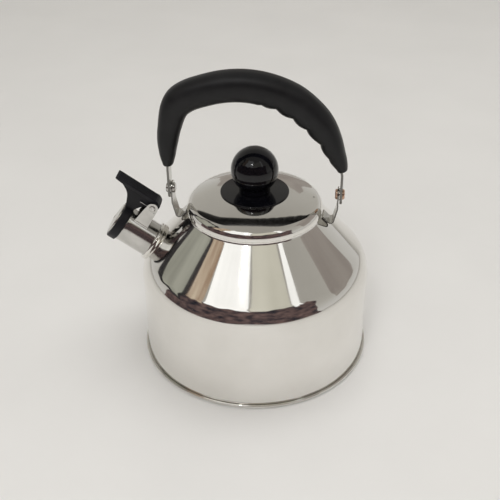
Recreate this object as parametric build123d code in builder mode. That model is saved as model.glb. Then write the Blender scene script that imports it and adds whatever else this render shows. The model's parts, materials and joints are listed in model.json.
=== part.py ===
from build123d import *
import math
import os

# A stovetop whistling kettle. The origin is the centre of the flat base, +Z is up,
# the spout points along -X, and the handle stands in the XZ plane.
os.makedirs("parts", exist_ok=True)

# ---------------------------------------------------------------- driving dimensions, mm
# Body: a drawn stainless shell, its straight wall, round shoulder, cone and short neck
body_radius = 100.0
body_wall = 0.8
shoulder_height = 77.0
shoulder_radius = 32.0
dome_slope = 47.0
neck_radius = 56.6
neck_fillet = 3.0

# Base pan, its edge folded round the flange of the shell
pan_wall = 0.8
pan_rise = 1.3
pan_edge_slant = 1.6
seam_overhang = 2.4
seam_rounding = 0.9
stamped_ring_insets = (18.0, 43.0, 68.0)
stamped_ring_width = 1.6
stamped_ring_depth = 0.3

# Lid, its friction collar and its knob
lid_overhang = 1.6
lid_wall = 0.7
lid_skirt = 1.0
lid_rounding = 9.0
lid_edge_slope = 21.0
lid_land_slope = 8.0
lid_above_neck_root = 1.3
collar_depth = 16.0
collar_play = 0.5
vent_radius = 0.8
vent_inset = 7.9
vent_aside = 3.0
knob_radius = 20.0
knob_neck_radius = 13.2
knob_sink = 0.9
flange_radius = 29.2
flange_thickness = 1.6
flange_rim_thickness = 1.0
flange_rim_rounding = 0.45
land_margin = 1.0
screw_radius = 2.5
screw_head_radius = 4.6
screw_head_height = 2.8
screw_head_rounding = 1.4
screw_slot_length = 7.4
screw_slot_width = 1.0
screw_slot_depth = 1.4
screw_reach = 20.0
screw_washer_radius = 8.0
screw_washer_thickness = 1.0

# Spout, inclined tube through the shoulder with a ring round its root
spout_elevation = 35.0
spout_rise = 5.1
spout_radius = 15.8
spout_wall = 1.0
spout_length = 29.8
spout_lip_rounding = 0.45
spout_inside = 6.0
spout_ring_width = 2.4
spout_ring_front = 1.6
spout_ring_rounding = 0.9

# Whistle hinge: saddle with two ears, pin and torsion spring
saddle_behind_mouth = 4.6
saddle_length = 13.0
pin_over_tube = 17.4
pin_radius = 1.5
pin_head_radius = 2.7
pin_head_thickness = 1.2
pin_head_rounding = 0.84
ear_inner_half_gap = 8.5
ear_thickness = 1.0
ear_top_radius = 4.8
spring_wire = 0.9
spring_over_pin = 1.6
spring_turns = 3
spring_pitch = 1.05
spring_reach = 11.0
spring_back_leg = 3.4
spring_hook = 3.4

# Whistle: black moulding with thumb lever and cap ring, and the two metal cups
cap_overhang = 1.7
cap_length = 7.5
cap_rounding = 0.8
cap_ring_thickness = 2.5
lever_inside_ears = 1.5
lever_over_pin = 7.0
lever_plate = 3.0
lever_tip_reach = 21.7
lever_tip_depth = 5.6
lever_behind_pin = 4.8
lever_rear_chamfer = 3.2
lever_rear_slant = 0.9
web_half_thickness = 3.0
web_bulge = 4.6
web_bulge_over_cap = 8.5
hub_radius = 5.6
whistle_wall = 0.6
cup_inside_bore = 0.5
cup_overhang = 1.2
cup_inset = 1.0
plug_inset = 2.0
whistle_plug_depth = 1.6
whistle_plug_dome = 0.3
whistle_hole_radius = 1.8
whistle_dome = 1.4
rib_count = 7
rib_width = 0.8
rib_height = 0.5
rib_margin = 1.5
rib_side_margin = 1.0

# Handle: brackets on the dome, rivets, washers, steel strap and moulded grip
bracket_foot_from_neck = 9.4
bracket_foot_length = 11.4
bracket_width = 13.0
bracket_thickness = 1.2
bracket_from_lid = 12.1
bracket_top_margin = 6.4
bracket_end_rounding = 6.2
pivot_above_foot = 28.2
bracket_bend_below_pivot = 11.3
bracket_bend_radius = 2.6
washer_radius = 5.2
washer_thickness = 0.6
rivet_radius = 2.5
rivet_head_overhang = 1.9
rivet_head_thickness = 1.9
rivet_head_rounding = 1.4
strap_thickness = 2.0
strap_width = 11.0
strap_end_rounding = 5.3
tang_below_pivot = 8.7
grip_tip_above_pivot = 20.0
grip_crown_above_pivot = 93.2
grip_half_depth = 12.0
notch_radius = 4.5
notch_depth = 2.2
notch_places = (0.633, 0.713, 0.784, 0.869)

# Clearances
hinge_play = 0.05
pivot_side_play = 0.15
body_gap = 0.3
seat_play = 0.05
hub_side_play = 0.7
spring_side_play = 0.1
spring_hole_play = 0.12

# ---------------------------------------------------------------- derived geometry
shoulder_turn = 90.0 - dome_slope
slope_tan = math.tan(math.radians(dome_slope))
turn_rad = math.radians(shoulder_turn)


def dome_point(inset=0.0):
    """End of the shoulder arc, where the straight cone begins, as (radius, height)."""
    reach = shoulder_radius - inset
    centre_radius = body_radius - shoulder_radius
    return (
        centre_radius + reach * math.cos(turn_rad),
        shoulder_height + reach * math.sin(turn_rad),
    )


def cone_height(radius, inset=0.0):
    """Height of the cone at a radius, on the outer face or inset from it."""
    start_radius, start_height = dome_point(inset)
    return start_height + (start_radius - radius) * slope_tan


neck_root_tangent = neck_fillet * math.tan(turn_rad / 2)
neck_root = cone_height(neck_radius) + neck_root_tangent
lid_rim = neck_root + lid_above_neck_root
lid_radius = neck_radius + lid_overhang
lid_turn_centre = (lid_radius - lid_rounding, lid_rim + lid_skirt)
lid_inner_rounding = lid_rounding - lid_wall
edge_slope_rad = math.radians(lid_edge_slope)
land_slope_rad = math.radians(lid_land_slope)
lid_edge_radius = lid_turn_centre[0] + lid_rounding * math.sin(edge_slope_rad)
lid_edge_height = lid_turn_centre[1] + lid_rounding * math.cos(edge_slope_rad)
lid_land_radius = flange_radius + land_margin
crown_radius = (lid_edge_radius - lid_land_radius) / (
    math.sin(edge_slope_rad) - math.sin(land_slope_rad)
)
crown_centre = (
    lid_edge_radius - crown_radius * math.sin(edge_slope_rad),
    lid_edge_height - crown_radius * math.cos(edge_slope_rad),
)
lid_land = crown_centre[1] + crown_radius * math.cos(land_slope_rad)
neck_inner_radius = neck_radius - body_wall
neck_top = (
    lid_turn_centre[1]
    + math.sqrt(lid_inner_rounding**2 - (neck_radius - lid_turn_centre[0]) ** 2)
    - body_gap
)
collar_radius = neck_inner_radius - collar_play
collar_top = lid_turn_centre[1] + math.sqrt(
    lid_inner_rounding**2 - (collar_radius - lid_turn_centre[0]) ** 2
)

seam_floor = pan_rise + pan_wall
seam_radius = body_radius + seam_overhang
seam_flange_radius = seam_radius - pan_wall - seat_play

elevation = math.radians(spout_elevation)
along = Vector(-math.cos(elevation), 0, math.sin(elevation))
across = Vector(math.sin(elevation), 0, math.cos(elevation))
spout_origin = (
    Vector(-(body_radius - shoulder_radius), 0, shoulder_height)
    + along * shoulder_radius
    + across * spout_rise
)
spout_plane = Plane(origin=spout_origin, x_dir=across, z_dir=along)
whistle_plane = Plane(origin=spout_origin, x_dir=along, z_dir=(0, 1, 0))
# Below, "along" is measured from the shoulder on the spout's axis, "above" from the axis
spout_bore = spout_radius - spout_wall
spout_ring_radius = spout_radius + spout_ring_width
saddle_front = spout_length - saddle_behind_mouth
saddle_back = saddle_front - saddle_length
pin_along = (saddle_front + saddle_back) / 2
pin_above = spout_radius + pin_over_tube
cap_radius = spout_radius + cap_overhang
cap_back = spout_length + body_gap
cap_front = cap_back + cap_length
lever_half_width = ear_inner_half_gap - lever_inside_ears
lever_top = pin_above + lever_over_pin
lever_tip_along = cap_front + lever_tip_reach
lever_rear_along = pin_along - lever_behind_pin
whistle_cup_radius = spout_bore - cup_inside_bore
hub_half_width = ear_inner_half_gap - hub_side_play
spring_coil_radius = pin_radius + spring_over_pin
spring_start = -ear_inner_half_gap + spring_wire / 2 + spring_side_play
spring_room = spring_turns * spring_pitch + spring_wire
hub_near_side = spring_start + spring_room
pin_point = spout_origin + along * pin_along + across * pin_above
spring_leg_above = pin_above - spring_coil_radius
spring_back_end = ear_thickness + 1.2 * spring_wire
spring_hole_radius = spring_wire / 2 + spring_hole_play
leg_wire_radius = spring_wire / 2 - 0.03
leg_overlap = 0.3

bracket_foot_radius = neck_radius + bracket_foot_from_neck
bracket_span = lid_radius + bracket_from_lid
rivet_head_radius = rivet_radius + rivet_head_overhang
foot_height = cone_height(bracket_foot_radius)
pivot_height = foot_height + pivot_above_foot
bracket_outer = bracket_span + bracket_thickness / 2
washer_inner = bracket_outer + seat_play
tang_inner = washer_inner + washer_thickness + pivot_side_play
tang_centre = tang_inner + strap_thickness / 2
grip_tip = pivot_height + grip_tip_above_pivot


def save(part, name):
    """Label a finished piece and write it under its own name."""
    part.label = name
    export_step(part, f"parts/{name}.step")


def shell_line(inset):
    """Draw wall, shoulder, cone and neck of the body, inset from the outer face."""
    wall_radius = body_radius - inset
    neck = neck_radius - inset
    turn = neck_fillet + inset
    cone_start = dome_point(inset)
    turn_centre = (neck_radius + neck_fillet, neck_root)
    cone_end = (
        turn_centre[0] - turn * math.cos(turn_rad),
        turn_centre[1] - turn * math.sin(turn_rad),
    )
    Line((wall_radius, seam_floor), (wall_radius, shoulder_height))
    CenterArc(
        (body_radius - shoulder_radius, shoulder_height),
        shoulder_radius - inset,
        0,
        shoulder_turn,
    )
    Line(cone_start, cone_end)
    CenterArc(turn_centre, turn, 180 + shoulder_turn, -shoulder_turn)
    Line((neck, neck_root), (neck, neck_top))


# ---------------------------------------------------------------- body
# The outer form of the body as a solid, used to fit the ring and feet to the dome.
with BuildPart() as body_form:
    with BuildSketch(Plane.XZ):
        with BuildLine():
            shell_line(0)
            Line((neck_radius, neck_top), (0, neck_top))
            Line((0, neck_top), (0, seam_floor))
            Line((0, seam_floor), (body_radius, seam_floor))
        make_face()
    revolve(axis=Axis.Z)

with BuildPart() as body_shell:
    with BuildSketch(Plane.XZ):
        with BuildLine():
            shell_line(0)
            Line((neck_radius, neck_top), (neck_inner_radius, neck_top))
            shell_line(body_wall)
            Line((body_radius - body_wall, seam_floor), (body_radius, seam_floor))
        make_face()
        with Locations((body_radius - body_wall, seam_floor)):
            Rectangle(
                seam_flange_radius - body_radius + body_wall,
                body_wall,
                align=(Align.MIN, Align.MIN),
            )
    revolve(axis=Axis.Z)
    with BuildSketch(spout_plane.offset(-spout_inside)):
        Circle(spout_radius + seat_play)
    extrude(amount=2 * spout_inside, mode=Mode.SUBTRACT)
save(body_shell.part, "body_shell")

with BuildPart() as base_pan:
    with BuildSketch(Plane.XZ):
        seam_lip = body_radius + seat_play
        seam_top = seam_floor + body_wall + seat_play + pan_wall
        flat_radius = body_radius - body_wall - pan_edge_slant
        with BuildLine():
            Polyline(
                (0, 0),
                (flat_radius, 0),
                (flat_radius + pan_edge_slant, pan_rise),
                (seam_radius, pan_rise),
                (seam_radius, seam_top),
                (seam_lip, seam_top),
                (seam_lip, seam_top - pan_wall),
                (seam_radius - pan_wall, seam_top - pan_wall),
                (seam_radius - pan_wall, seam_floor),
                (flat_radius + pan_edge_slant - pan_wall / 2, seam_floor),
                (flat_radius - pan_wall / 2, pan_wall),
                (0, pan_wall),
                close=True,
            )
        make_face()
    revolve(axis=Axis.Z)
    rim_edges = base_pan.edges().filter_by(GeomType.CIRCLE).filter_by(
        lambda edge: abs(edge.radius - seam_radius) < 0.01
    )
    fillet(rim_edges, seam_rounding)
    for ring_inset in stamped_ring_insets:
        with BuildSketch(Plane.XZ):
            with Locations((body_radius - ring_inset, 0)):
                Rectangle(stamped_ring_width, 2 * stamped_ring_depth)
        revolve(axis=Axis.Z, mode=Mode.SUBTRACT)
save(base_pan.part, "base_pan")

# ---------------------------------------------------------------- spout
with BuildPart() as spout_tube:
    with BuildSketch(spout_plane.offset(-spout_inside)):
        Circle(spout_radius)
        Circle(spout_bore, mode=Mode.SUBTRACT)
    extrude(amount=spout_inside + spout_length)
    mouth_edges = spout_tube.edges().filter_by(GeomType.CIRCLE).group_by(Axis(spout_origin, along))[-1]
    fillet(mouth_edges, spout_lip_rounding)
save(spout_tube.part, "spout_tube")

with BuildPart() as spout_ring:
    with BuildSketch(spout_plane.offset(-spout_inside)):
        Circle(spout_ring_radius)
    extrude(amount=spout_inside + spout_ring_front)
    fillet(
        spout_ring.edges().filter_by(GeomType.CIRCLE).group_by(Axis(spout_origin, along))[-1],
        spout_ring_rounding,
    )
    with BuildSketch(spout_plane.offset(-spout_inside)):
        Circle(spout_radius + seat_play)
    extrude(amount=spout_inside + spout_ring_front, mode=Mode.SUBTRACT)
    add(body_form.part, mode=Mode.SUBTRACT)
save(spout_ring.part, "spout_ring")

# ---------------------------------------------------------------- whistle hinge
saddle_inner = spout_radius + seat_play
saddle_outer = saddle_inner + ear_thickness
ear_outer = ear_inner_half_gap + ear_thickness

with BuildPart() as hinge_bracket:
    with BuildSketch(spout_plane.offset(saddle_back)):
        Circle(saddle_outer)
        Circle(saddle_inner, mode=Mode.SUBTRACT)
        with Locations((saddle_outer, 0)):
            Rectangle(2 * saddle_outer, 2 * ear_outer, mode=Mode.INTERSECT)
    extrude(amount=saddle_front - saddle_back)
    for side in (-1, 1):
        with BuildSketch(whistle_plane.offset(side * (ear_inner_half_gap + ear_thickness / 2))):
            with BuildLine():
                root_low = math.sqrt(saddle_inner**2 - ear_inner_half_gap**2) + ear_thickness
                Polyline(
                    (saddle_back, root_low),
                    (saddle_front, root_low),
                    (pin_along + ear_top_radius, pin_above),
                )
                CenterArc((pin_along, pin_above), ear_top_radius, 0, 180)
                Polyline(
                    (pin_along - ear_top_radius, pin_above),
                    (saddle_back, root_low),
                )
            make_face()
        extrude(amount=ear_thickness / 2, both=True)
    with BuildSketch(whistle_plane):
        with Locations((pin_along, pin_above)):
            Circle(pin_radius + seat_play / 2)
    extrude(amount=2 * ear_outer, both=True, mode=Mode.SUBTRACT)
    with BuildSketch(whistle_plane):
        with Locations((pin_along - spring_back_leg, spring_leg_above)):
            Circle(spring_hole_radius)
    extrude(amount=-2 * ear_outer, mode=Mode.SUBTRACT)
save(hinge_bracket.part, "hinge_bracket")

with BuildPart() as hinge_pin:
    with BuildSketch(whistle_plane):
        with Locations((pin_along, pin_above)):
            Circle(pin_radius)
    extrude(amount=ear_outer + seat_play, both=True)
    for side in (-1, 1):
        head_start = side * (ear_outer + seat_play)
        with BuildSketch(whistle_plane.offset(head_start)):
            with Locations((pin_along, pin_above)):
                Circle(pin_head_radius)
        extrude(amount=side * pin_head_thickness)
    fillet(
        hinge_pin.edges().filter_by(GeomType.CIRCLE).group_by(Axis.Y)[0]
        + hinge_pin.edges().filter_by(GeomType.CIRCLE).group_by(Axis.Y)[-1],
        pin_head_rounding,
    )
save(hinge_pin.part, "hinge_pin")

# The coil stands beside the hub, round the pin. The short back leg ends in a hole of
# the near ear, and the long front leg ends in a hole of the lever's web.
coil_plane = Plane(
    origin=pin_point + Vector(0, spring_start, 0), x_dir=-across, z_dir=(0, 1, 0)
)
coil_line = coil_plane * Helix(spring_pitch, spring_turns * spring_pitch, spring_coil_radius)


def wire_leg(start, way, length, end_way, end_length):
    """Straight leg that starts inside the coil's end, then its own end bent square."""
    elbow = start + way * length
    with BuildPart() as made:
        with BuildSketch(Plane(origin=start - way * leg_overlap, z_dir=way)):
            Circle(leg_wire_radius)
        extrude(amount=length + leg_overlap)
        with BuildSketch(Plane(origin=elbow, z_dir=end_way)):
            Circle(leg_wire_radius)
        extrude(amount=end_length)
        with Locations(elbow):
            Sphere(leg_wire_radius)
    return made.part


with BuildPart() as whistle_spring:
    with BuildSketch(Plane(origin=coil_line @ 0, z_dir=coil_line % 0)):
        Circle(spring_wire / 2)
    sweep(path=coil_line, is_frenet=True)
    add(wire_leg(coil_line @ 0, -along, spring_back_leg, Vector(0, -1, 0), spring_back_end))
    add(wire_leg(coil_line @ 1, along, spring_reach, Vector(0, 1, 0), spring_hook))
save(whistle_spring.part, "whistle_spring")

# ---------------------------------------------------------------- whistle
with BuildPart() as whistle_lever:
    # thumb plate, thicker at the tip
    with BuildSketch(whistle_plane):
        plate_low = lever_top - lever_plate
        tip_low = lever_top - lever_tip_depth
        with BuildLine():
            Polyline(
                (lever_tip_along, lever_top),
                (lever_rear_along + lever_rear_chamfer, lever_top),
                (lever_rear_along, lever_top - lever_rear_chamfer),
                (lever_rear_along + lever_rear_slant, pin_above),
                (pin_along, pin_above),
                (pin_along + hub_radius, plate_low),
                (lever_tip_along - lever_tip_depth, plate_low),
                (lever_tip_along, tip_low),
                close=True,
            )
        make_face()
    extrude(amount=lever_half_width, both=True)
    # web that flows down from the plate into the cap ring
    with BuildSketch(whistle_plane):
        with BuildLine():
            web_toe = (cap_front, cap_radius - cap_ring_thickness)
            web_bend = (cap_front + web_bulge, cap_radius + web_bulge_over_cap)
            web_nose = (lever_tip_along - lever_tip_depth, plate_low)
            ThreePointArc(web_nose, web_bend, web_toe)
            Polyline(
                web_toe,
                (cap_back, cap_radius - cap_ring_thickness),
                (cap_back, cap_radius + web_half_thickness / 3),
                (pin_along, pin_above - hub_radius),
                (pin_along, plate_low),
                web_nose,
            )
        make_face()
    extrude(amount=web_half_thickness, both=True)
    # hub round the pin, shortened on the near side to leave room for the spring
    with BuildSketch(whistle_plane.offset(hub_near_side)):
        with Locations((pin_along, pin_above)):
            Circle(hub_radius)
    extrude(amount=hub_half_width - hub_near_side)
    # cap ring
    with BuildSketch(spout_plane.offset(cap_back)):
        Circle(cap_radius)
    extrude(amount=cap_length)
    fillet(
        whistle_lever.edges()
        .filter_by(GeomType.CIRCLE)
        .filter_by(lambda edge: abs(edge.radius - cap_radius) < 0.01)
        .sort_by(Axis(spout_origin, along))[0:1],
        cap_rounding,
    )
    with BuildSketch(spout_plane.offset(cap_back)):
        Circle(whistle_cup_radius)
    extrude(amount=cap_length, mode=Mode.SUBTRACT)
    with BuildSketch(whistle_plane):
        with Locations((pin_along, pin_above)):
            Circle(pin_radius + hinge_play)
    extrude(amount=2 * ear_outer, both=True, mode=Mode.SUBTRACT)
    # room for the spring round the pin
    with BuildSketch(whistle_plane.offset(hub_near_side)):
        with Locations((pin_along, pin_above)):
            Circle(spring_coil_radius + spring_wire)
    extrude(amount=-spring_room, mode=Mode.SUBTRACT)
    with BuildSketch(whistle_plane):
        with Locations((pin_along + spring_reach, spring_leg_above)):
            Circle(spring_hole_radius)
    extrude(amount=2 * ear_outer, both=True, mode=Mode.SUBTRACT)
    # ribs along the thumb plate
    thumb_plane = Plane(origin=spout_origin + across * lever_top, x_dir=along, z_dir=across)
    with BuildSketch(thumb_plane):
        rib_start = lever_rear_along + lever_rear_chamfer + rib_margin
        rib_end = lever_tip_along - rib_margin
        rib_spacing = 2 * (lever_half_width - rib_side_margin) / (rib_count - 1)
        with Locations(((rib_start + rib_end) / 2, 0)):
            with GridLocations(0, rib_spacing, 1, rib_count):
                Rectangle(rib_end - rib_start, rib_width)
    extrude(amount=rib_height)
save(whistle_lever.part, "whistle_lever")

cup_radius = whistle_cup_radius - seat_play
cup_front = cap_front + cup_overhang
cup_inner = cup_radius - whistle_wall
cup_back = cap_back + cup_inset
plug_radius = cup_inner - seat_play
plug_back = spout_length - whistle_plug_depth


def cup(radius, open_end, closed_end, bulge):
    """Thin cup round the spout's axis, closed at one end by a shallow dome with a hole."""
    way = 1 if closed_end > open_end else -1
    inner = radius - whistle_wall
    with BuildPart() as made:
        with BuildSketch(whistle_plane):
            with BuildLine():
                Polyline(
                    (closed_end + way * bulge, whistle_hole_radius),
                    (closed_end + way * (bulge - whistle_wall), whistle_hole_radius),
                    (closed_end - way * whistle_wall, inner),
                    (open_end, inner),
                    (open_end, radius),
                    (closed_end, radius),
                    close=True,
                )
            make_face()
        revolve(axis=Axis(spout_origin, along))
    return made.part


save(cup(cup_radius, cup_back, cup_front, whistle_dome), "whistle_front")
save(cup(plug_radius, cup_back + plug_inset, plug_back, whistle_plug_dome), "whistle_back")

# ---------------------------------------------------------------- lid and knob
with BuildPart() as lid_shell:
    with BuildSketch(Plane.XZ):
        with BuildLine():
            Line((lid_radius, lid_rim), (lid_radius, lid_turn_centre[1]))
            CenterArc(lid_turn_centre, lid_rounding, 0, 90 - lid_edge_slope)
            CenterArc(
                crown_centre,
                crown_radius,
                90 - lid_edge_slope,
                lid_edge_slope - lid_land_slope,
            )
            inner_crown_radius = crown_radius - lid_wall
            inner_land = (
                crown_centre[0] + inner_crown_radius * math.sin(land_slope_rad),
                crown_centre[1] + inner_crown_radius * math.cos(land_slope_rad),
            )
            Polyline(
                (lid_land_radius, lid_land),
                (0, lid_land),
                (0, lid_land - lid_wall),
                (inner_land[0], lid_land - lid_wall),
                inner_land,
            )
            CenterArc(
                crown_centre,
                inner_crown_radius,
                90 - lid_edge_slope,
                lid_edge_slope - lid_land_slope,
            )
            CenterArc(lid_turn_centre, lid_inner_rounding, 0, 90 - lid_edge_slope)
            Polyline(
                (lid_radius - lid_wall, lid_turn_centre[1]),
                (lid_radius - lid_wall, lid_rim),
                (lid_radius, lid_rim),
            )
        make_face()
    revolve(axis=Axis.Z)
    with BuildSketch(Plane.XY.offset(lid_rim)):
        Circle(screw_radius + seat_play)
        with Locations((lid_radius - vent_inset, vent_aside)):
            Circle(vent_radius)
    extrude(amount=2 * lid_rounding, mode=Mode.SUBTRACT)
save(lid_shell.part, "lid_shell")

with BuildPart() as lid_collar:
    collar_low = neck_top - collar_depth
    with BuildSketch(Plane.XY.offset(collar_low)):
        Circle(collar_radius)
        Circle(collar_radius - lid_wall, mode=Mode.SUBTRACT)
    extrude(amount=collar_top - seat_play - collar_low)
save(lid_collar.part, "lid_collar")

with BuildPart() as knob_flange:
    with BuildSketch(Plane.XZ):
        with BuildLine():
            Polyline(
                (0, lid_land),
                (flange_radius, lid_land),
                (flange_radius, lid_land + flange_rim_thickness),
                (knob_neck_radius, lid_land + flange_thickness),
                (0, lid_land + flange_thickness),
                close=True,
            )
        make_face()
    revolve(axis=Axis.Z)
    rim_edges = knob_flange.edges().filter_by(GeomType.CIRCLE).filter_by(
        lambda edge: abs(edge.radius - flange_radius) < 0.01
    )
    fillet(rim_edges, flange_rim_rounding)
    with BuildSketch(Plane.XY.offset(lid_land)):
        Circle(screw_radius + seat_play)
    extrude(amount=flange_thickness, mode=Mode.SUBTRACT)
save(knob_flange.part, "knob_flange")

flange_top = lid_land + flange_thickness
knob_centre = flange_top + knob_radius - knob_sink
with BuildPart() as knob_ball:
    with BuildSketch(Plane.XZ):
        with Locations((0, knob_centre)):
            Circle(knob_radius)
        with Locations((0, flange_top)):
            Rectangle(knob_neck_radius, knob_radius, align=(Align.MIN, Align.MIN))
        with Locations((0, flange_top)):
            Rectangle(
                knob_radius,
                2 * knob_radius,
                align=(Align.MIN, Align.MIN),
                mode=Mode.INTERSECT,
            )
    revolve(axis=Axis.Z)
    with BuildSketch(Plane.XY.offset(flange_top)):
        Circle(screw_radius)
    extrude(amount=screw_reach, mode=Mode.SUBTRACT)
save(knob_ball.part, "knob_ball")

washer_low = lid_land - lid_wall - screw_washer_thickness
with BuildPart() as screw_washer:
    with BuildSketch(Plane.XY.offset(washer_low)):
        Circle(screw_washer_radius)
        Circle(screw_radius + seat_play, mode=Mode.SUBTRACT)
    extrude(amount=screw_washer_thickness)
save(screw_washer.part, "screw_washer")

with BuildPart() as knob_screw:
    with BuildSketch(Plane.XY.offset(washer_low)):
        Circle(screw_radius)
    extrude(amount=flange_top + screw_reach - washer_low)
    with BuildSketch(Plane.XY.offset(washer_low)):
        Circle(screw_head_radius)
    extrude(amount=-screw_head_height)
    fillet(
        knob_screw.edges().filter_by(GeomType.CIRCLE).group_by(Axis.Z)[0],
        screw_head_rounding,
    )
    with BuildSketch(Plane.XY.offset(washer_low - screw_head_height)):
        for slot_angle in (0, 90):
            SlotOverall(screw_slot_length, screw_slot_width, rotation=slot_angle)
    extrude(amount=screw_slot_depth, mode=Mode.SUBTRACT)
save(knob_screw.part, "knob_screw")

# ---------------------------------------------------------------- handle
foot_normal = (math.cos(turn_rad), math.sin(turn_rad))
foot_lift = bracket_thickness / 2 + seat_play
foot_run = (-math.cos(math.radians(dome_slope)), math.sin(math.radians(dome_slope)))
foot_knee = (
    bracket_foot_radius + foot_lift * foot_normal[0],
    foot_height + foot_lift * foot_normal[1],
)
foot_toe = (
    foot_knee[0] + bracket_foot_length * foot_run[0],
    foot_knee[1] + bracket_foot_length * foot_run[1],
)


def bracket(side):
    """Bent strip: foot up the cone under the lid's rim, slanted leg, upright ear."""
    with BuildPart() as made:
        with BuildSketch(Plane.XZ):
            with BuildLine():
                FilletPolyline(
                    (side * bracket_span, pivot_height + bracket_top_margin),
                    (side * bracket_span, pivot_height - bracket_bend_below_pivot),
                    (side * foot_knee[0], foot_knee[1]),
                    (side * foot_toe[0], foot_toe[1]),
                    radius=bracket_bend_radius,
                )
            trace(line_width=bracket_thickness)
        extrude(amount=bracket_width / 2, both=True)
        fillet(
            made.edges().filter_by(Axis.X).group_by(Axis.Z)[-1],
            bracket_end_rounding,
        )
        with BuildSketch(Plane.YZ.offset(side * bracket_span)):
            with Locations((0, pivot_height)):
                Circle(rivet_radius + seat_play / 2)
        extrude(amount=2 * bracket_thickness, both=True, mode=Mode.SUBTRACT)
        add(body_form.part, mode=Mode.SUBTRACT)
    return made.part


def washer(side):
    """Spacing washer between bracket and tang."""
    with BuildPart() as made:
        with BuildSketch(Plane.YZ.offset(side * washer_inner)):
            with Locations((0, pivot_height)):
                Circle(washer_radius)
                Circle(rivet_radius + seat_play / 2, mode=Mode.SUBTRACT)
        extrude(amount=side * washer_thickness)
    return made.part


def rivet(side):
    """Pivot rivet along X with a round head at each end."""
    inner = bracket_span - bracket_thickness / 2 - seat_play
    outer = tang_inner + strap_thickness + pivot_side_play
    with BuildPart() as made:
        with BuildSketch(Plane.YZ.offset(side * inner)):
            with Locations((0, pivot_height)):
                Circle(rivet_radius)
        extrude(amount=side * (outer - inner))
        for start, way in ((inner, -1), (outer, 1)):
            with BuildSketch(Plane.YZ.offset(side * start)):
                with Locations((0, pivot_height)):
                    Circle(rivet_head_radius)
            extrude(amount=side * way * rivet_head_thickness)
        ends = made.edges().filter_by(GeomType.CIRCLE).group_by(Axis.X)
        fillet(ends[0] + ends[-1], rivet_head_rounding)
    return made.part


for name, side in (("left", -1), ("right", 1)):
    save(bracket(side), f"bracket_{name}")
    save(washer(side), f"pivot_washer_{name}")
    save(rivet(side), f"pivot_rivet_{name}")

# Centre line of the grip: upright left leg, round corner, crown, and a long fall to
# the right. Each point is a share of the tang's distance and of the crown's height.
grip_shape = (
    (-0.963, 0.590),
    (-0.846, 0.837),
    (-0.495, 0.966),
    (-0.027, 1.0),
    (0.426, 0.880),
    (0.756, 0.644),
    (0.928, 0.386),
)
grip_points = [(-tang_centre, 0, grip_tip)]
for share_out, share_up in grip_shape:
    grip_points.append(
        (share_out * tang_centre, 0, pivot_height + share_up * grip_crown_above_pivot)
    )
grip_points.append((tang_centre, 0, grip_tip))
grip_line = Spline(*grip_points, tangents=((0, 0, 1), (0.25, 0, -1)))
# place along the centre line, half thickness in the arch's plane, share of full depth
grip_sections = (
    (0.0, 3.2, 0.58),
    (0.03, 6.4, 0.72),
    (0.09, 8.7, 0.83),
    (0.17, 10.2, 0.92),
    (0.255, 12.4, 1.0),
    (0.4, 12.6, 1.0),
    (0.53, 13.0, 1.0),
    (0.68, 13.6, 1.0),
    (0.8, 12.4, 1.0),
    (0.9, 9.2, 0.92),
    (0.965, 6.6, 0.75),
    (1.0, 3.2, 0.58),
)


def grip_half_thickness(place):
    """Half thickness of the grip at a place along its centre line."""
    for before, after in zip(grip_sections, grip_sections[1:]):
        if before[0] <= place <= after[0]:
            share = (place - before[0]) / (after[0] - before[0])
            return before[1] + share * (after[1] - before[1])
    raise ValueError("place is off the centre line")


with BuildPart() as handle_strap:
    with BuildSketch(Plane.XZ):
        with BuildLine():
            Line((-tang_centre, pivot_height - tang_below_pivot), (-tang_centre, grip_tip))
            add(Plane.XZ.to_local_coords(grip_line))
            Line((tang_centre, grip_tip), (tang_centre, pivot_height - tang_below_pivot))
        trace(line_width=strap_thickness)
    extrude(amount=strap_width / 2, both=True)
    fillet(
        handle_strap.edges().filter_by(Axis.X).group_by(Axis.Z)[0],
        strap_end_rounding,
    )
    with BuildSketch(Plane.YZ):
        with Locations((0, pivot_height)):
            Circle(rivet_radius + hinge_play)
    extrude(amount=2 * tang_centre, both=True, mode=Mode.SUBTRACT)
save(handle_strap.part, "handle_strap")

with BuildPart() as handle_grip:
    for place, half_thickness, depth_share in grip_sections:
        section_plane = Plane(origin=grip_line @ place, x_dir=(0, 1, 0), z_dir=grip_line % place)
        with BuildSketch(section_plane):
            Ellipse(depth_share * grip_half_depth, half_thickness)
    loft()
    for place in notch_places:
        flow = grip_line % place
        inward = Vector(flow.Z, 0, -flow.X)
        centre_depth = grip_half_thickness(place) + notch_radius - notch_depth
        centre = (grip_line @ place) + inward * centre_depth
        with BuildSketch(Plane(origin=centre, x_dir=(1, 0, 0), z_dir=(0, 1, 0))):
            Circle(notch_radius)
        extrude(amount=2 * grip_half_depth, both=True, mode=Mode.SUBTRACT)
    add(handle_strap.part, mode=Mode.SUBTRACT)
save(handle_grip.part, "handle_grip")
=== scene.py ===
"""Looks of the stovetop whistling kettle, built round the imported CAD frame.

Lengths in the tables are in millimetres, as in the CAD model, and turn into metres
through MM. +Z is up, the spout points along -X, and the handle stands in the XZ plane.
"""

import json
import math

import bmesh
import bpy
from mathutils import Matrix, Vector


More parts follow.
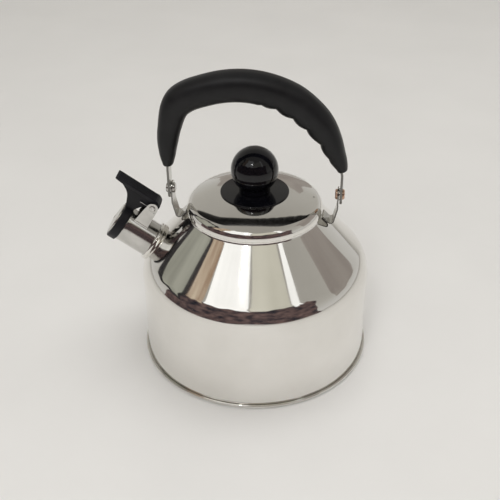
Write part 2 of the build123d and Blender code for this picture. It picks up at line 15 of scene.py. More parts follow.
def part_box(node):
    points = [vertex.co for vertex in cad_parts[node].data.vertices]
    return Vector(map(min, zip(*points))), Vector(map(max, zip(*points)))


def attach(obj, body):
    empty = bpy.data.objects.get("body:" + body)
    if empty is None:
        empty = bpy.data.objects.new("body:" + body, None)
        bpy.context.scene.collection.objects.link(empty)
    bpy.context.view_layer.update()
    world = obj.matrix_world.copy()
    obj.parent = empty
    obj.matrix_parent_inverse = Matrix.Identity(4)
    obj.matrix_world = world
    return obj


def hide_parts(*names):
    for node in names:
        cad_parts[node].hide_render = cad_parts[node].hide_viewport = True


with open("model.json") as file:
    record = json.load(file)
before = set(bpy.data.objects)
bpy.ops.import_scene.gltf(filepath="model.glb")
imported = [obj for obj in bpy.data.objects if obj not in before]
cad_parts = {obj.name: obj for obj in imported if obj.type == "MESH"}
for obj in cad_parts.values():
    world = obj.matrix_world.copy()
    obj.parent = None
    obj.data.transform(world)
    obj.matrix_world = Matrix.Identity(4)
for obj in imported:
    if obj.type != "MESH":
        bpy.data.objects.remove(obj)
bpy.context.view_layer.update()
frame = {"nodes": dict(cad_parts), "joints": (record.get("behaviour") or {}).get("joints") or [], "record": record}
MM = 0.001

# ------------------------------------------------------------------ sizes, mm
BODY_RADIUS = 100.0
BODY_WALL = 0.8
SHOULDER_HEIGHT = 77.0
SHOULDER_RADIUS = 32.0
DOME_SLOPE = math.radians(47.0)
NECK_RADIUS = 56.6
NECK_FILLET = 3.0
SEAM_RADIUS = 102.4
SEAM_FLOOR = 2.1
PAN_WALL = 0.8
SEAM_GAP = 0.6
STAMPED_RINGS = (32.0, 57.0, 82.0)

SPOUT_ELEVATION = math.radians(35.0)
SPOUT_RISE = 5.1
SPOUT_RADIUS = 15.8
SPOUT_WALL = 1.0
SPOUT_LENGTH = 29.8
SPOUT_INSIDE = 6.0
SPOUT_LIP = 0.45
SOLDER_GAP = 0.05
RING_RADIUS = 18.2
RING_FRONT = 1.6
RING_BACK = -3.4

LID_WALL = 0.7
LID_ROUNDING = 9.0
LID_EDGE_SLOPE = math.radians(21.0)
LID_LAND_SLOPE = math.radians(8.0)
LID_SKIRT = 1.0
LID_LIP = 0.2
VENT_RADIUS = 0.8
VENT_PLACE = (50.0, 3.0)
FLANGE_RADIUS = 29.2
FLANGE_RIM = 1.0
KNOB_RADIUS = 20.0
KNOB_NECK = 13.2

PIN_ALONG = 18.7
PIN_ABOVE = 33.2
CAP_RADIUS = 17.5
CAP_BACK = 30.1
CAP_FRONT = 37.6
CUP_RADIUS = 14.25
CUP_FRONT = 38.8
PLUG_RADIUS = 13.6
PLUG_BACK = 28.2
CUP_WALL = 0.6
CUP_BULGE = 1.4
PLUG_BULGE = 0.3
WHISTLE_HOLE = 1.8
LEVER_TOP = 40.2
PLATE_TOP = LEVER_TOP - 0.6
LEVER_TIP = 59.3
LEVER_REAR = 13.9
LEVER_HALF_WIDTH = 7.0
WEB_HALF_WIDTH = 3.1
HUB_BORE = 1.6
HUB_RADIUS = 5.6
HUB_NEAR = -2.9
HUB_FAR = 7.8
RIB_COUNT = 7
RIB_HALF_WIDTH = 0.38
RIB_HEIGHT = 0.45

TURN = math.pi / 2 - DOME_SLOPE
LATHE_STEPS = 288


# ------------------------------------------------------------------ outlines
def rounded(corners, closed=True, steps=10):
    """Points of an outline whose corners, as (x, y, radius), are rounded by arcs."""
    out = []
    count = len(corners)
    for i, (x, y, radius) in enumerate(corners):
        if radius <= 0 or (not closed and i in (0, count - 1)):
            out.append((x, y))
            continue
        here = Vector((x, y))
        before = Vector(corners[i - 1][:2]) - here
        after = Vector(corners[(i + 1) % count][:2]) - here
        before.normalize()
        after.normalize()
        half = math.acos(max(-1.0, min(1.0, before.dot(after)))) / 2
        centre = here + (before + after).normalized() * (radius / math.sin(half))
        start = here + before * (radius / math.tan(half)) - centre
        end = here + after * (radius / math.tan(half)) - centre
        a0 = math.atan2(start.y, start.x)
        swing = math.atan2(end.y, end.x) - a0
        swing = (swing + math.pi) % (2 * math.pi) - math.pi
        arc_steps = max(3, round(steps * abs(swing) / (math.pi / 2)))
        for k in range(arc_steps + 1):
            angle = a0 + swing * k / arc_steps
            out.append((centre.x + radius * math.cos(angle), centre.y + radius * math.sin(angle)))
    return out


def split_long(points, longest, closed=True):
    """The same outline with its long straight runs divided."""
    out = []
    pairs = list(zip(points, points[1:] + points[:1] if closed else points[1:]))
    for (x0, y0), (x1, y1) in pairs:
        parts = max(1, math.ceil(math.hypot(x1 - x0, y1 - y0) / longest))
        for k in range(parts):
            out.append((x0 + (x1 - x0) * k / parts, y0 + (y1 - y0) * k / parts))
    if not closed:
        out.append(points[-1])
    return out


# ------------------------------------------------------------------ pieces
def add_piece(name, mesh_maker, material, body, replaced=()):
    """Object from a bmesh, smooth, in one material, riding on a body."""
    bm = mesh_maker if isinstance(mesh_maker, bmesh.types.BMesh) else mesh_maker()
    bmesh.ops.recalc_face_normals(bm, faces=bm.faces)
    mesh = bpy.data.meshes.new(name)
    bm.to_mesh(mesh)
    bm.free()
    mesh.shade_smooth()
    obj = bpy.data.objects.new(name, mesh)
    bpy.context.scene.collection.objects.link(obj)
    mesh.materials.append(material)
    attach(obj, body)
    if replaced:
        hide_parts(*replaced)
    return obj


def lathe(outline, axis=None, steps=LATHE_STEPS):
    """Closed solid of revolution of an outline (radius, along) about an axis matrix."""
    bm = bmesh.new()
    rows = []
    for radius, along in outline:
        if radius < 1e-6:
            rows.append([bm.verts.new((0, 0, along * MM))] * steps)
            continue
        ring = []
        for k in range(steps):
            angle = 2 * math.pi * k / steps
            ring.append(
                bm.verts.new(
                    (radius * MM * math.cos(angle), radius * MM * math.sin(angle), along * MM)
                )
            )
        rows.append(ring)
    for row, following in zip(rows, rows[1:] + rows[:1]):
        for k in range(steps):
            quad = [row[k], row[(k + 1) % steps], following[(k + 1) % steps], following[k]]
            corners = list(dict.fromkeys(quad))
            if len(corners) > 2:
                bm.faces.new(corners)
    if axis is not None:
        bmesh.ops.transform(bm, matrix=axis, verts=bm.verts)
    return bm


def slab(outline, half_width, plane, offset=0.0):
    """Outline (x, y) in a plane, given as a matrix, extruded both ways along its normal."""
    bm = bmesh.new()
    faces = []
    for side in (-1, 1):
        height = (offset + side * half_width) * MM
        faces.append([bm.verts.new((x * MM, y * MM, height)) for x, y in outline])
    count = len(outline)
    for k in range(count):
        after = (k + 1) % count
        bm.faces.new([faces[0][k], faces[0][after], faces[1][after], faces[1][k]])
    bm.faces.new(faces[0])
    bm.faces.new(faces[1])
    bmesh.ops.transform(bm, matrix=plane, verts=bm.verts)
    return bm


def merged(*parts):
    """One bmesh from several, which are freed."""
    whole = bmesh.new()
    for part in parts:
        mesh = bpy.data.meshes.new("part")
        part.to_mesh(mesh)
        part.free()
        whole.from_mesh(mesh)
        bpy.data.meshes.remove(mesh)
    return whole


def soften(obj, width_mm, segments=3, angle=35.0):
    """Rounds the sharp edges of a piece and keeps its flats flat."""
    bevel = obj.modifiers.new("Soft edges", "BEVEL")
    bevel.width = width_mm * MM
    bevel.segments = segments
    bevel.limit_method = "ANGLE"
    bevel.angle_limit = math.radians(angle)
    bevel.harden_normals = False
    normals = obj.modifiers.new("Flat faces", "WEIGHTED_NORMAL")
    normals.keep_sharp = True
    return obj


def cut(obj, cutter):
    """Takes a cutter's shape out of a piece, for good."""
    tool_mesh = bpy.data.meshes.new("cutter")
    bmesh.ops.recalc_face_normals(cutter, faces=cutter.faces)
    cutter.to_mesh(tool_mesh)
    cutter.free()
    tool = bpy.data.objects.new("cutter", tool_mesh)
    bpy.context.scene.collection.objects.link(tool)
    modifier = obj.modifiers.new("Hole", "BOOLEAN")
    modifier.operation = "DIFFERENCE"
    modifier.solver = "EXACT"
    modifier.object = tool
    bpy.context.view_layer.update()
    graph = bpy.context.evaluated_depsgraph_get()
    result = bpy.data.meshes.new_from_object(obj.evaluated_get(graph))
    obj.modifiers.remove(modifier)
    old = obj.data
    obj.data = result
    bpy.data.meshes.remove(old)
    bpy.data.objects.remove(tool)
    bpy.data.meshes.remove(tool_mesh)
    obj.data.shade_smooth()


# ------------------------------------------------------------------ places
ALONG = Vector((-math.cos(SPOUT_ELEVATION), 0, math.sin(SPOUT_ELEVATION)))
ACROSS = Vector((math.sin(SPOUT_ELEVATION), 0, math.cos(SPOUT_ELEVATION)))
SPOUT_ORIGIN = (
    Vector((-(BODY_RADIUS - SHOULDER_RADIUS), 0, SHOULDER_HEIGHT))
    + ALONG * SHOULDER_RADIUS
    + ACROSS * SPOUT_RISE
) * MM


def frame_matrix(x_axis, y_axis, z_axis, origin):
    """Matrix whose columns are three axes and an origin."""
    matrix = Matrix((x_axis, y_axis, z_axis)).transposed().to_4x4()
    matrix.translation = origin
    return matrix


SPOUT_AXIS = frame_matrix(ACROSS, Vector((0, 1, 0)), ALONG, SPOUT_ORIGIN)
WHISTLE_PLANE = frame_matrix(ALONG, ACROSS, Vector((0, 1, 0)), SPOUT_ORIGIN)


def cone_height(radius, inset=0.0):
    """Height of the dome's straight cone at a radius, on or inside its outer face."""
    reach = SHOULDER_RADIUS - inset
    start_radius = BODY_RADIUS - SHOULDER_RADIUS + reach * math.cos(TURN)
    start_height = SHOULDER_HEIGHT + reach * math.sin(TURN)
    return start_height + (start_radius - radius) * math.tan(DOME_SLOPE)


NECK_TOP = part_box("body_shell")[1].z / MM
LID_LOW, LID_HIGH = (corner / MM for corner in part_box("lid_shell"))
LID_RADIUS = LID_HIGH.x
FLANGE_LOW, FLANGE_HIGH = (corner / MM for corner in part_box("knob_flange"))


# ------------------------------------------------------------------ materials
class Shader:
    """Small helper for building a node material."""

    def __init__(self, name):
        self.material = bpy.data.materials.new(name)
        self.material.use_nodes = True
        self.tree = self.material.node_tree
        self.bsdf = self.tree.nodes["Principled BSDF"]
        self.coords = self.tree.nodes.new("ShaderNodeTexCoord").outputs["Object"]

    def node(self, kind, **values):
        made = self.tree.nodes.new(kind)
        for key, value in values.items():
            setattr(made, key, value)
        return made

    def link(self, source, target):
        self.tree.links.new(source, target)

    def set(self, **values):
        for key, value in values.items():
            self.bsdf.inputs[key.replace("_", " ")].default_value = value

    def math(self, operation, first, second=None):
        made = self.node("ShaderNodeMath", operation=operation)
        for socket, value in zip(made.inputs, (first, second)):
            if value is None:
                continue
            if isinstance(value, (int, float)):
                socket.default_value = value
            else:
                self.link(value, socket)
        return made.outputs[0]

    def scaled(self, scale):
        made = self.node("ShaderNodeMapping")
        made.inputs["Scale"].default_value = scale
        self.link(self.coords, made.inputs["Vector"])
        return made.outputs[0]

    def rings(self, density):
        """Coordinates that run across lathe or polishing rings about the Z axis."""
        parts = self.node("ShaderNodeSeparateXYZ")
        self.link(self.coords, parts.inputs[0])
        square = self.math(
            "ADD",
            self.math("MULTIPLY", parts.outputs[0], parts.outputs[0]),
            self.math("MULTIPLY", parts.outputs[1], parts.outputs[1]),
        )
        radius = self.math("SQRT", square)
        joined = self.node("ShaderNodeCombineXYZ")
        self.link(self.math("MULTIPLY", radius, density), joined.inputs[0])
        self.link(self.math("MULTIPLY", parts.outputs[2], density), joined.inputs[1])
        return joined.outputs[0]

    def noise(self, scale, detail=4.0, vector=None, roughness=0.55):
        made = self.node("ShaderNodeTexNoise")
        made.inputs["Scale"].default_value = scale
        made.inputs["Detail"].default_value = detail
        made.inputs["Roughness"].default_value = roughness
        self.link(vector or self.coords, made.inputs["Vector"])
        return made.outputs["Fac"]

    def ranged(self, value, low, high, start=0.3, end=0.7):
        """A noise value spread over a wanted range."""
        made = self.node("ShaderNodeMapRange")
        made.inputs["From Min"].default_value = start
        made.inputs["From Max"].default_value = end
        made.inputs["To Min"].default_value = low
        made.inputs["To Max"].default_value = high
        self.link(value, made.inputs["Value"])
        return made.outputs[0]

    def colours(self, value, first, second, start=0.35, end=0.65):
        made = self.node("ShaderNodeValToRGB")
        made.color_ramp.elements[0].position = start
        made.color_ramp.elements[0].color = (*first, 1)
        made.color_ramp.elements[1].position = end
        made.color_ramp.elements[1].color = (*second, 1)
        self.link(value, made.inputs["Fac"])
        return made.outputs["Color"]

    def bumps(self, *layers):
        """Chained bump layers, each as (height, strength, distance in metres)."""
        normal = None
        for height, strength, distance in layers:
            made = self.node("ShaderNodeBump")
            made.inputs["Strength"].default_value = strength
            made.inputs["Distance"].default_value = distance
            self.link(height, made.inputs["Height"])
            if normal is not None:
                self.link(normal, made.inputs["Normal"])
            normal = made.outputs["Normal"]
        self.link(normal, self.bsdf.inputs["Normal"])


def polished_steel():
    """Mirror-polished stainless sheet: faint polishing rings, haze and stamping waves."""
    s = Shader("Polished steel")
    s.set(Metallic=1.0)
    rings = s.rings(900.0)
    fine = s.noise(1.0, 3.0, rings)
    cloud = s.noise(28.0, 3.0)
    haze = s.math("ADD", s.ranged(cloud, 0.035, 0.075), s.ranged(fine, 0.0, 0.02))
    s.link(haze, s.bsdf.inputs["Roughness"])
    s.link(
        s.colours(s.noise(16.0, 4.0), (0.80, 0.785, 0.75), (0.86, 0.845, 0.815)),
        s.bsdf.inputs["Base Color"],
    )
    s.bumps((s.noise(14.0, 1.0), 0.25, 0.0004), (fine, 0.02, 0.00005))
    return s.material


def satin_steel():
    """Drawn or rolled stainless with a soft grain."""
    s = Shader("Satin steel")
    s.set(Metallic=1.0)
    grain = s.noise(1.0, 4.0, s.scaled((250.0, 2600.0, 250.0)))
    s.link(
        s.math("ADD", s.ranged(grain, 0.07, 0.14), s.ranged(s.noise(70.0), 0.0, 0.05)),
        s.bsdf.inputs["Roughness"],
    )
    s.link(
        s.colours(s.noise(55.0), (0.50, 0.49, 0.47), (0.66, 0.65, 0.625)),
        s.bsdf.inputs["Base Color"],
    )
    s.bumps((grain, 0.05, 0.0001))
    return s.material


def strip_steel():
    """Bent strip with satin faces; its sheared edges, which face across Y, are duller, and their base colour is
    darkened there as painted shade.
    """
    s = Shader("Strip steel")
    s.set(Metallic=1.0)
    grain = s.noise(1.0, 4.0, s.scaled((2200.0, 220.0, 300.0)))
    parts = s.node("ShaderNodeSeparateXYZ")
    s.link(s.node("ShaderNodeTexCoord").outputs["Normal"], parts.inputs[0])
    # Mask of faces turned across Y: it makes the sheared edges rougher, and it also drives the painted shade in
    # the colour below.
    sheared_edge_and_painted_shade = s.math("ABSOLUTE", parts.outputs[1], 0.0)
    s.link(
        s.math("ADD", s.ranged(grain, 0.10, 0.20), s.ranged(sheared_edge_and_painted_shade, 0.0, 0.15, 0.55, 0.85)),
        s.bsdf.inputs["Roughness"],
    )
    # Painted shade: faces turned across Y, the strip's edges, get a much darker base colour.
    s.link(
        s.colours(sheared_edge_and_painted_shade, (0.62, 0.61, 0.58), (0.20, 0.195, 0.185), 0.55, 0.9),
        s.bsdf.inputs["Base Color"],
    )
    s.bumps((grain, 0.06, 0.0001))
    return s.material


def bright_fastener():
    """Headed pins and rivets, with small dents from the tool."""
    s = Shader("Bright fastener")
    s.set(Metallic=1.0)
    dents = s.noise(520.0, 3.0)
    s.link(s.ranged(dents, 0.14, 0.34), s.bsdf.inputs["Roughness"])
    s.link(s.colours(dents, (0.55, 0.54, 0.52), (0.74, 0.73, 0.71)), s.bsdf.inputs["Base Color"])
    s.bumps((dents, 0.3, 0.0002))
    return s.material


def copper_rivet():
    """Copper-toned rivet, dulled in its hollows."""
    s = Shader("Copper rivet")
    s.set(Metallic=1.0)
    dull = s.noise(420.0, 4.0)
    s.link(s.ranged(dull, 0.22, 0.45), s.bsdf.inputs["Roughness"])
    s.link(s.colours(dull, (0.50, 0.30, 0.20), (0.74, 0.52, 0.40)), s.bsdf.inputs["Base Color"])
    s.bumps((dull, 0.3, 0.0002))
    return s.material


def spring_wire():
    """Hard-drawn wire, its grain along the turns."""
    s = Shader("Spring wire")
    s.set(Metallic=1.0)
    grain = s.noise(1.0, 3.0, s.scaled((900.0, 3200.0, 900.0)))
    s.link(s.ranged(grain, 0.18, 0.32), s.bsdf.inputs["Roughness"])
    s.link(s.colours(grain, (0.52, 0.52, 0.52), (0.70, 0.70, 0.69)), s.bsdf.inputs["Base Color"])
    return s.material


def moulding(name, dark, light, low, high, grain_scale, grain_depth, shine=0.5):
    """Black moulded plastic with a fine surface grain and slight wear."""
    s = Shader(name)
    s.set(IOR=1.5, Specular_IOR_Level=shine)
    grain = s.noise(grain_scale, 2.0)
    wear = s.noise(45.0, 5.0)
    s.link(
        s.math("ADD", s.ranged(wear, low, high), s.ranged(grain, -0.02, 0.03)),
        s.bsdf.inputs["Roughness"],
    )
    s.link(s.colours(wear, dark, light), s.bsdf.inputs["Base Color"])
    s.bumps((s.noise(22.0, 2.0), 0.08, 0.0006), (grain, 0.35, grain_depth))
    return s.material


MATERIALS = {
    "polished_steel": polished_steel(),
    "satin_steel": satin_steel(),
    "bright_fastener": bright_fastener(),
    "copper_rivet": copper_rivet(),
    "spring_wire": spring_wire(),
    "black_grip": moulding(
        "Grained grip",
        (0.005, 0.005, 0.006), (0.010, 0.010, 0.011),
        0.34, 0.46, 1900.0, 0.00012, 0.3
    ),
    "black_lever": moulding(
        "Matte lever",
        (0.006, 0.006, 0.008), (0.012, 0.012, 0.015),
        0.40, 0.54, 1500.0, 0.00008, 0.3
    ),
    "black_gloss": moulding(
        "Gloss knob",
        (0.002, 0.002, 0.003), (0.004, 0.004, 0.006),
        0.06, 0.11, 700.0, 0.000004, 0.4
    ),
}

for entry in frame["record"]["subparts"]:
    node = frame["nodes"][entry["node"]]
    node.data.materials.clear()
    node.data.materials.append(MATERIALS[entry["material_slot"]])


# ------------------------------------------------------------------ body
def shell_outline(inset):
    """Wall, shoulder, cone and neck as corners with their rounding, bottom to top."""
    wall = BODY_RADIUS - inset
    neck = NECK_RADIUS - inset
    shoulder = SHOULDER_RADIUS - inset
    return [
        (wall, SHOULDER_HEIGHT + shoulder * math.tan(TURN / 2), shoulder),
        (neck, cone_height(neck, inset), NECK_FILLET + inset),
    ]


def body_skin():
    outer = shell_outline(0.0)
    inner = shell_outline(BODY_WALL)
    flange = SEAM_RADIUS - PAN_WALL - 0.05
    corners = [
        (BODY_RADIUS - BODY_WALL, SEAM_FLOOR, 0),
        (flange, SEAM_FLOOR, 0),
        (flange, SEAM_FLOOR + BODY_WALL, 0),
        (BODY_RADIUS, SEAM_FLOOR + BODY_WALL, 0.3),
        outer[0],
        outer[1],
        (NECK_RADIUS, NECK_TOP, 0.35),
        (NECK_RADIUS - BODY_WALL, NECK_TOP, 0.35),
        inner[1],
        inner[0],
    ]
    return lathe(split_long(rounded(corners, steps=56), 4.0))


def spout_cutter():
    """Rod round the spout's axis, long enough to pass through the wall."""
    radius = SPOUT_RADIUS + SOLDER_GAP
    reach = 12.0
    return lathe([(0, -reach), (radius, -reach), (radius, reach), (0, reach)], SPOUT_AXIS, 96)


def base_skin():
    seam_top = SEAM_FLOOR + BODY_WALL + 0.05 + PAN_WALL
    lip = BODY_RADIUS + SEAM_GAP
    flat = BODY_RADIUS - BODY_WALL - 1.6
    corners = [(0, 0, 0)]
    for ring in STAMPED_RINGS:
        corners += [
            (ring - 0.8, 0, 0.3),
            (ring - 0.5, 0.3, 0.2),
            (ring + 0.5, 0.3, 0.2),
            (ring + 0.8, 0, 0.3),
        ]
    corners += [
        (flat, 0, 0.6),
        (flat + 1.6, 1.3, 0.5),
        (SEAM_RADIUS, 1.3, 1.0),
        (SEAM_RADIUS, seam_top, 1.0),
        (lip, seam_top, 0.25),
        (lip, seam_top - PAN_WALL, 0),
        (SEAM_RADIUS - PAN_WALL, seam_top - PAN_WALL, 0),
        (SEAM_RADIUS - PAN_WALL, SEAM_FLOOR, 0),
        (flat + 1.6 - PAN_WALL / 2, SEAM_FLOOR, 0.4),
        (flat - PAN_WALL / 2, PAN_WALL, 0.4),
        (0, PAN_WALL, 0),
    ]
    return lathe(split_long(rounded(corners, steps=8), 3.0))


body = add_piece(
    "body_shell_skin",
    body_skin,
    MATERIALS["polished_steel"],
    "body",
    ["body_shell"],
)
cut(body, spout_cutter())


# ------------------------------------------------------------------ spout
def tube_outline():
    """Section of the spout tube, with rounded lips."""
    inner = SPOUT_RADIUS - SPOUT_WALL
    corners = [
        (inner, -SPOUT_INSIDE, SPOUT_LIP),
        (SPOUT_RADIUS, -SPOUT_INSIDE, SPOUT_LIP),
        (SPOUT_RADIUS, SPOUT_LENGTH, SPOUT_LIP),
        (inner, SPOUT_LENGTH, SPOUT_LIP),
    ]
    return rounded(corners, steps=6)


add_piece(
    "spout_tube_skin",
    lathe(
        split_long(tube_outline(), 3.0),
        SPOUT_AXIS,
        128,
    ),
    MATERIALS["satin_steel"],
    "body",
    ["spout_tube"],
)
add_piece(
    "spout_ring_skin",
    lathe(
        rounded(
            [
                (SPOUT_RADIUS + SOLDER_GAP, RING_BACK, 0),
                (RING_RADIUS, RING_BACK, 0),
                (RING_RADIUS, RING_FRONT, 1.1),
                (SPOUT_RADIUS + SOLDER_GAP, RING_FRONT, 0.3),
            ],
            steps=8,
        ),
        SPOUT_AXIS,
        128,
    ),
    MATERIALS["polished_steel"],
    "body",
    ["spout_ring"],
)


# ------------------------------------------------------------------ lid and knob
def arc_points(centre, radius, start, end, steps):
    """Points of an arc between two angles, measured from the outward direction."""
    out = []
    for k in range(steps + 1):
        angle = start + (end - start) * k / steps
        out.append((centre[0] + radius * math.cos(angle), centre[1] + radius * math.sin(angle)))
    return out


def lid_skin():
    low = LID_LOW.z
    edge = math.pi / 2 - LID_EDGE_SLOPE
    land = math.pi / 2 - LID_LAND_SLOPE
    land_radius = FLANGE_RADIUS + 1.0
    turn = (LID_RADIUS - LID_ROUNDING, low + LID_SKIRT)
    edge_point = arc_points(turn, LID_ROUNDING, edge, edge, 1)[0]
    crown_radius = (edge_point[0] - land_radius) / (math.cos(edge) - math.cos(land))
    crown = (
        edge_point[0] - crown_radius * math.cos(edge),
        edge_point[1] - crown_radius * math.sin(edge),
    )
    outer = [(LID_RADIUS - LID_LIP, low), (LID_RADIUS, low + LID_LIP)]
    outer += arc_points(turn, LID_ROUNDING, 0, edge, 48)
    outer += arc_points(crown, crown_radius, edge, land, 40)[1:]
    inner = arc_points(crown, crown_radius - LID_WALL, land, edge, 40)
    inner += arc_points(turn, LID_ROUNDING - LID_WALL, edge, 0, 48)[1:]
    inner_edge = LID_RADIUS - LID_WALL
    inner += [(inner_edge, low + LID_LIP), (inner_edge + LID_LIP, low)]
    top = outer[-1][1]
    middle = [(0, top), (0, top - LID_WALL), (inner[0][0], top - LID_WALL)]
    return lathe(outer + middle + inner)


lid = add_piece(
    "lid_skin", lid_skin, MATERIALS["polished_steel"], "lid", ["lid_shell"]
)
vent_top = LID_HIGH.z + 2
cut(
    lid,
    lathe(
        [(0, LID_LOW.z), (VENT_RADIUS, LID_LOW.z), (VENT_RADIUS, vent_top), (0, vent_top)],
        Matrix.Translation((VENT_PLACE[0] * MM, VENT_PLACE[1] * MM, 0)),
        24,
    ),
)


def flange_skin():
    low = FLANGE_LOW.z
    high = FLANGE_HIGH.z
    corners = [
        (0, low, 0),
        (FLANGE_RADIUS, low, 0.3),
        (FLANGE_RADIUS, low + FLANGE_RIM, 0.5),
        (KNOB_NECK + 2.0, high, 5.0),
        (0, high, 0),
    ]
    return lathe(split_long(rounded(corners), 2.0), steps=160)


add_piece(
    "knob_flange_skin", flange_skin, MATERIALS["black_gloss"], "lid", ["knob_flange"]
)


def knob_skin():
    low, high = (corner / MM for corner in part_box("knob_ball"))
    centre = high.z - KNOB_RADIUS
    start = -math.acos(KNOB_NECK / KNOB_RADIUS)
    outline = [(0, low.z), (KNOB_NECK, low.z)]
    outline += [(KNOB_NECK, low.z + 1.0), (KNOB_NECK, centre + KNOB_RADIUS * math.sin(start) - 0.4)]
    steps = 60
    for k in range(steps):
        angle = start + (math.pi / 2 - start) * k / steps
        outline.append((KNOB_RADIUS * math.cos(angle), centre + KNOB_RADIUS * math.sin(angle)))
    outline.append((0, high.z))
    return lathe(outline, steps=160)


add_piece(
    "knob_ball_skin", knob_skin, MATERIALS["black_gloss"], "lid", ["knob_ball"]
)

add_piece(
    "base_pan_skin", base_skin, MATERIALS["polished_steel"], "body", ["base_pan"]
)


# ------------------------------------------------------------------ whistle
def cup_skin(radius, open_end, closed_end, bulge):
    """Thin cup round the spout's axis, its closed end a shallow dome with a hole."""
    way = 1 if closed_end > open_end else -1
    corners = [
        (WHISTLE_HOLE, closed_end + way * bulge, 0.15),
        (radius, closed_end, 1.0),
        (radius, open_end, 0),
        (radius - CUP_WALL, open_end, 0),
        (radius - CUP_WALL, closed_end - way * CUP_WALL, 0.4),
        (WHISTLE_HOLE, closed_end + way * (bulge - CUP_WALL), 0.15),
    ]
    return lathe(split_long(rounded(corners, steps=6), 1.5), SPOUT_AXIS, 96)


add_piece(
    "whistle_front_skin",
    cup_skin(CUP_RADIUS, CAP_BACK + 1.0, CUP_FRONT, CUP_BULGE),
    MATERIALS["satin_steel"],
    "whistle",
    ["whistle_front"],
)
add_piece(
    "whistle_back_skin",
    cup_skin(PLUG_RADIUS, CAP_BACK + 3.0, PLUG_BACK, PLUG_BULGE),
    MATERIALS["satin_steel"],
    "whistle",
    ["whistle_back"],
)


def lever_skin():
    """Thumb plate, web and cap ring of the whistle, as closed forms that meet."""
    top = PLATE_TOP
    plate = [
        (LEVER_TIP, top, 0.9),
        (LEVER_REAR + 3.6, top, 3.0),
        (LEVER_REAR, top - 3.4, 2.4),
        (LEVER_REAR + 0.7, PIN_ABOVE - 1.6, 1.0),
        (PIN_ALONG - 1.2, PIN_ABOVE - 1.6, 0.6),
        (PIN_ALONG + 4.4, top - 3.2, 2.6),
        (LEVER_TIP - 6.0, top - 2.8, 4.0),
        (LEVER_TIP - 0.4, top - 2.1, 0.8),
    ]
    web = [
        (LEVER_TIP - 2.2, top - 1.6, 0),
        (PIN_ALONG, top - 1.6, 0),
        (PIN_ALONG, PIN_ABOVE - 5.6, 1.5),
        (PIN_ALONG + 6.6, PIN_ABOVE - 6.6, 1.5),
        (CAP_BACK, CAP_RADIUS + 1.0, 1.0),
        (CAP_BACK, CAP_RADIUS - 2.5, 0),
        (CAP_FRONT, CAP_RADIUS - 2.5, 0),
        (CAP_FRONT + 1.6, CAP_RADIUS + 3.0, 4.0),
        (CAP_FRONT + 6.0, top - 9.0, 14.0),
    ]
    ring = [
        (CUP_RADIUS + 0.05, CAP_BACK, 0.2),
        (CAP_RADIUS, CAP_BACK, 0.8),
        (CAP_RADIUS, CAP_FRONT, 1.2),
        (CUP_RADIUS + 0.05, CAP_FRONT, 0.5),
    ]
    hub = lathe(
        [(HUB_BORE, HUB_NEAR), (HUB_RADIUS, HUB_NEAR), (HUB_RADIUS, HUB_FAR), (HUB_BORE, HUB_FAR)],
        WHISTLE_PLANE @ Matrix.Translation((PIN_ALONG * MM, PIN_ABOVE * MM, 0)),
        64,
    )
    return merged(
        slab(rounded(plate), LEVER_HALF_WIDTH - 0.6, WHISTLE_PLANE),
        slab(rounded(web), WEB_HALF_WIDTH, WHISTLE_PLANE),
        lathe(split_long(rounded(ring, steps=8), 2.0), SPOUT_AXIS, 128),
        hub,
    )


def rib_skin():
    """Fine ribs along the thumb plate."""
    top = PLATE_TOP
    spacing = 2 * (LEVER_HALF_WIDTH - 1.8) / (RIB_COUNT - 1)
    outline = [
        (LEVER_REAR + 5.5, top - 0.3, 0),
        (LEVER_TIP - 2.0, top - 0.3, 0),
        (LEVER_TIP - 2.2, top + RIB_HEIGHT, 0.3),
        (LEVER_REAR + 5.8, top + RIB_HEIGHT, 0.3),
    ]
    ribs = []
    for k in range(RIB_COUNT):
        offset = (k - (RIB_COUNT - 1) / 2) * spacing
        ribs.append(slab(rounded(outline, steps=4), RIB_HALF_WIDTH, WHISTLE_PLANE, offset))
    return merged(*ribs)


soften(
    add_piece(
        "whistle_lever_skin",
        lever_skin,
        MATERIALS["black_lever"],
        "whistle",
        ["whistle_lever"],
    ),
    0.55,
)
soften(
    add_piece(
        "whistle_lever_ribs", rib_skin, MATERIALS["black_lever"], "whistle"
    ),
    0.15,
    2,
)
STRIPS = ("bracket_left", "bracket_right", "handle_strap")
for name in ("hinge_bracket",) + STRIPS:
    soften(frame["nodes"][name], 0.22, 2, 40.0)
strip = strip_steel()
for name in STRIPS:
    frame["nodes"][name].data.materials.clear()
    frame["nodes"][name].data.materials.append(strip)


# ------------------------------------------------------------------ grip
PIVOT = frame["joints"][0]["pos_m"][2] / MM
STRAP_LOW, STRAP_HIGH = (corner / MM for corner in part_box("handle_strap"))
STRAP_THICKNESS = 2.0
TANG = (STRAP_HIGH.x - STRAP_LOW.x) / 2 - STRAP_THICKNESS / 2
GRIP_TIP = PIVOT + 20.0
LEFT_TIP_LIFT = 3.4
RIGHT_TIP_LIFT = 3.8
TIP_BULGE = 0.9
# centre line of the grip as (x, z), from the spout's side to the far side
GRIP_POINTS = [
    (-TANG, GRIP_TIP + LEFT_TIP_LIFT),
    (-70.0, PIVOT + 55.0),
    (-61.5, PIVOT + 78.0),
    (-36.0, PIVOT + 90.0),
    (-2.0, PIVOT + 93.2),
    (31.0, PIVOT + 82.0),
    (55.0, PIVOT + 60.0),
    (67.5, PIVOT + 36.0),
    (TANG, GRIP_TIP + RIGHT_TIP_LIFT),
]
